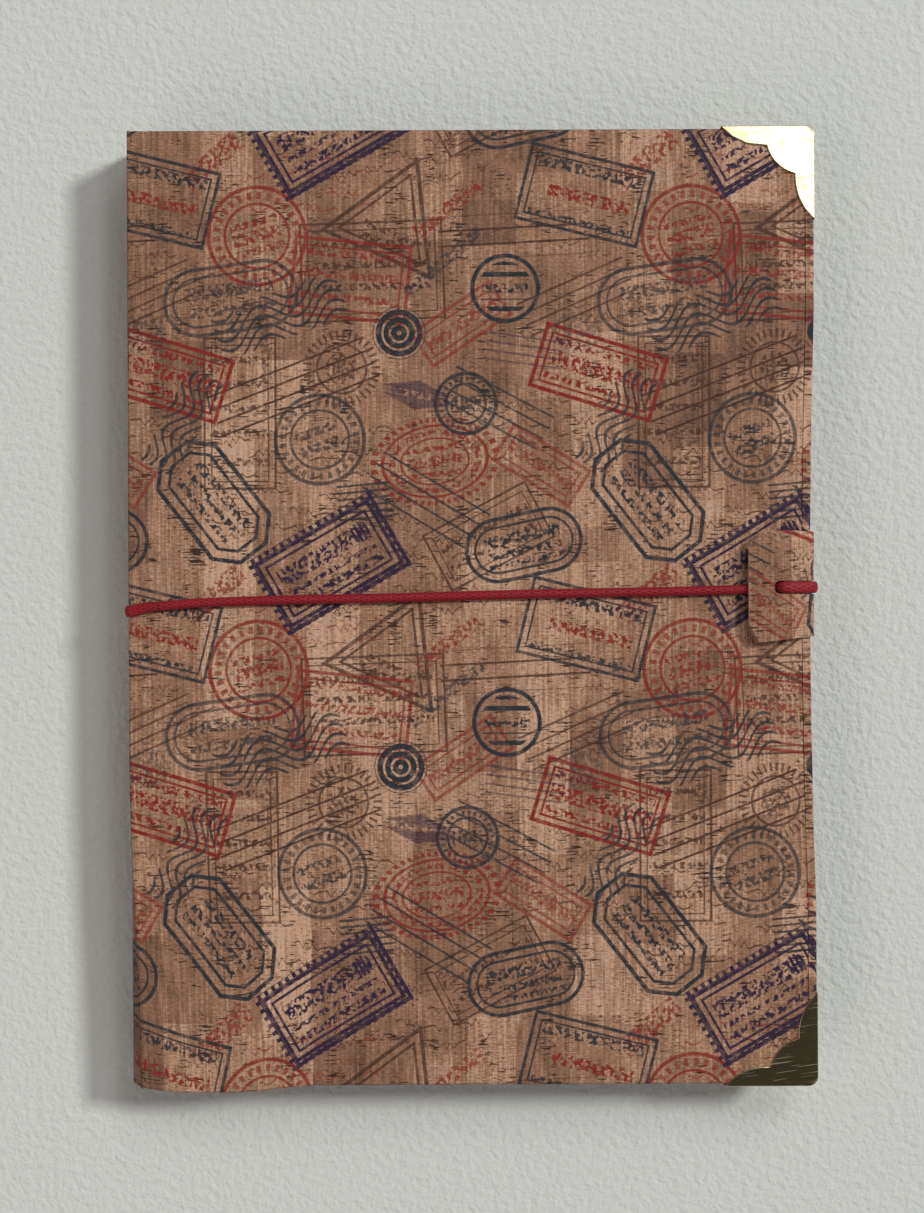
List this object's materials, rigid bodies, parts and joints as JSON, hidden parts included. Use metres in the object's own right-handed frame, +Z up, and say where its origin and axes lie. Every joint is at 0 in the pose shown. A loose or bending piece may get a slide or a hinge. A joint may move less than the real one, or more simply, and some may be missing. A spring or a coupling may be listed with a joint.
{
  "type": "stamp album",
  "caption": "Small cork-covered stamp album with scalloped brass corners, hinged stock leaves with clear pocket strips, and an elastic cord with a hook tab.",
  "frame": {"origin": "under the middle of the closed album, on the surface it lies on", "axes": "+X from the spine to the fore-edge, +Y from the tail to the head, +Z up out of the front cover"},
  "size_m": [0.157, 0.2168, 0.0234],
  "materials": {
    "printed_cork": "printed cork fabric, matte",
    "greyboard": "plain board",
    "lining_paper": "uncoated cream paper",
    "corner_brass": "polished, finely scratched",
    "spine_cloth": "open-weave book cloth",
    "headband_cloth": "woven headband",
    "thread": "waxed linen thread",
    "crimp_steel": "nickel-plated",
    "red_elastic": "braided elastic",
    "leaf_card": "matte black card",
    "hinge_cloth": "black linen tape",
    "clear_film": "clear polyester film",
    "glassine": "translucent glassine"
  },
  "bodies": {
    "back_cover": {"back_board": "greyboard", "back_cork": "printed_cork", "back_infill": "greyboard", "back_pastedown": "lining_paper", "back_corner_head": "corner_brass", "back_corner_tail": "corner_brass"},
    "spine": {"spine_board": "greyboard", "spine_cork": "printed_cork", "spine_lining": "spine_cloth", "back_fold_cork": "printed_cork", "front_fold_cork": "printed_cork", "headband_head": "headband_cloth", "headband_tail": "headband_cloth", "sewing_thread": "thread", "spine_anchor": "crimp_steel"},
    "front_cover": {"front_board": "greyboard", "front_cork": "printed_cork", "front_infill": "greyboard", "front_pastedown": "lining_paper", "front_corner_head": "corner_brass", "front_corner_tail": "corner_brass"},
    "closure": {"pull_tab": "printed_cork", "elastic_cord": "red_elastic", "tab_anchor": "crimp_steel"},
    "leaf_1": {"leaf_1_card": "leaf_card", "leaf_1_hinge": "hinge_cloth", "leaf_1_strips": "clear_film", "leaf_1_interleaf": "glassine"},
    "leaf_2": {"leaf_2_card": "leaf_card", "leaf_2_hinge": "hinge_cloth", "leaf_2_strips": "clear_film", "leaf_2_interleaf": "glassine"},
    "leaf_3": {"leaf_3_card": "leaf_card", "leaf_3_hinge": "hinge_cloth", "leaf_3_strips": "clear_film", "leaf_3_interleaf": "glassine"},
    "leaf_4": {"leaf_4_card": "leaf_card", "leaf_4_hinge": "hinge_cloth", "leaf_4_strips": "clear_film", "leaf_4_interleaf": "glassine"},
    "leaf_5": {"leaf_5_card": "leaf_card", "leaf_5_hinge": "hinge_cloth", "leaf_5_strips": "clear_film", "leaf_5_interleaf": "glassine"},
    "leaf_6": {"leaf_6_card": "leaf_card", "leaf_6_hinge": "hinge_cloth", "leaf_6_strips": "clear_film", "leaf_6_interleaf": "glassine"},
    "leaf_7": {"leaf_7_card": "leaf_card", "leaf_7_hinge": "hinge_cloth", "leaf_7_strips": "clear_film", "leaf_7_interleaf": "glassine"},
    "leaf_8": {"leaf_8_card": "leaf_card", "leaf_8_hinge": "hinge_cloth", "leaf_8_strips": "clear_film", "leaf_8_interleaf": "glassine"}
  },
  "joints": [
    {"name": "back_joint", "type": "hinge", "parent": "back_cover", "child": "spine", "pos_m": [-0.07675, 0, 0.0011], "axis": [0, -1, 0], "range_deg": [0, 90], "deforming": ["back_fold_cork"]},
    {"name": "front_cover_hinge", "type": "hinge", "parent": "spine", "child": "front_cover", "pos_m": [-0.07675, 0, 0.0185], "axis": [0, -1, 0], "range_deg": [0, 90], "deforming": ["front_fold_cork"]},
    {"name": "tab_unhook", "type": "slide", "parent": "front_cover", "child": "closure", "axis": [1, 0, 0], "range_m": [0, 0.018], "stiffness_N_per_m": 50, "springref_m": -0.03, "deforming": ["elastic_cord", "pull_tab"]},
    {"name": "leaf_1_hinge", "type": "hinge", "parent": "spine", "child": "leaf_1", "pos_m": [-0.0747, 0, 0.0147], "axis": [0, -1, 0], "range_deg": [0, 73.8]},
    {"name": "leaf_2_hinge", "type": "hinge", "parent": "spine", "child": "leaf_2", "pos_m": [-0.0747, 0, 0.0133], "axis": [0, -1, 0], "range_deg": [0, 63.9]},
    {"name": "leaf_3_hinge", "type": "hinge", "parent": "spine", "child": "leaf_3", "pos_m": [-0.0747, 0, 0.0119], "axis": [0, -1, 0], "range_deg": [0, 54]},
    {"name": "leaf_4_hinge", "type": "hinge", "parent": "spine", "child": "leaf_4", "pos_m": [-0.0747, 0, 0.0105], "axis": [0, -1, 0], "range_deg": [0, 44.1]},
    {"name": "leaf_5_hinge", "type": "hinge", "parent": "spine", "child": "leaf_5", "pos_m": [-0.0747, 0, 0.0091], "axis": [0, -1, 0], "range_deg": [-44.1, 0]},
    {"name": "leaf_6_hinge", "type": "hinge", "parent": "spine", "child": "leaf_6", "pos_m": [-0.0747, 0, 0.0077], "axis": [0, -1, 0], "range_deg": [-54, 0]},
    {"name": "leaf_7_hinge", "type": "hinge", "parent": "spine", "child": "leaf_7", "pos_m": [-0.0747, 0, 0.0063], "axis": [0, -1, 0], "range_deg": [-63.9, 0]},
    {"name": "leaf_8_hinge", "type": "hinge", "parent": "spine", "child": "leaf_8", "pos_m": [-0.0747, 0, 0.0049], "axis": [0, -1, 0], "range_deg": [-73.8, 0]}
  ],
  "couplings": [
    {"joint": "back_joint", "follows": "front_cover_hinge", "ratio": 1},
    {"joint": "leaf_1_hinge", "follows": "front_cover_hinge", "ratio": 0.82},
    {"joint": "leaf_2_hinge", "follows": "front_cover_hinge", "ratio": 0.71},
    {"joint": "leaf_3_hinge", "follows": "front_cover_hinge", "ratio": 0.6},
    {"joint": "leaf_4_hinge", "follows": "front_cover_hinge", "ratio": 0.49},
    {"joint": "leaf_5_hinge", "follows": "front_cover_hinge", "ratio": -0.49},
    {"joint": "leaf_6_hinge", "follows": "front_cover_hinge", "ratio": -0.6},
    {"joint": "leaf_7_hinge", "follows": "front_cover_hinge", "ratio": -0.71},
    {"joint": "leaf_8_hinge", "follows": "front_cover_hinge", "ratio": -0.82}
  ]
}
